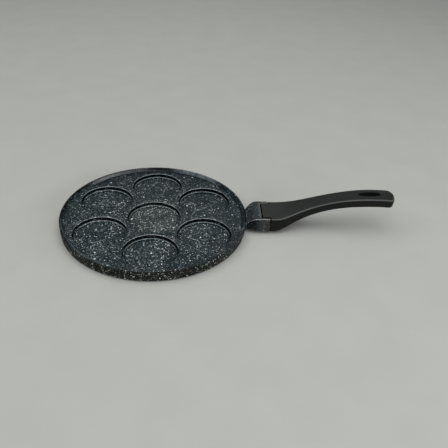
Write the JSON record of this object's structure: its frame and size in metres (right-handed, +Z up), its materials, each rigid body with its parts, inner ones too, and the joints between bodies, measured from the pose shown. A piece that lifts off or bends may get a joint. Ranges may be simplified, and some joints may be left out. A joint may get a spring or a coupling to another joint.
{
  "type": "pancake pan",
  "caption": "Round shallow cast pan with round wells for small pancakes, a dark stone-effect coating and a curved black handle with a hanging slot.",
  "frame": {"origin": "On the flat base, under the centre of the pan", "axes": "+Z up, +X from the pan's centre along the handle, +Y to the left when looking along the handle"},
  "size_m": [0.4663, 0.26, 0.0554],
  "materials": {
    "stone_coating": "cast aluminium under a blue-grey stone-effect coating with pale flecks",
    "phenolic": "satin black moulded phenolic",
    "insert_brass": "turned",
    "zinc_steel": "zinc plated"
  },
  "bodies": {
    "root": {"pan_body": "stone_coating", "handle": "phenolic", "threaded_insert": "insert_brass", "handle_screw": "zinc_steel", "spring_washer": "zinc_steel", "flat_washer": "zinc_steel"}
  },
  "joints": []
}
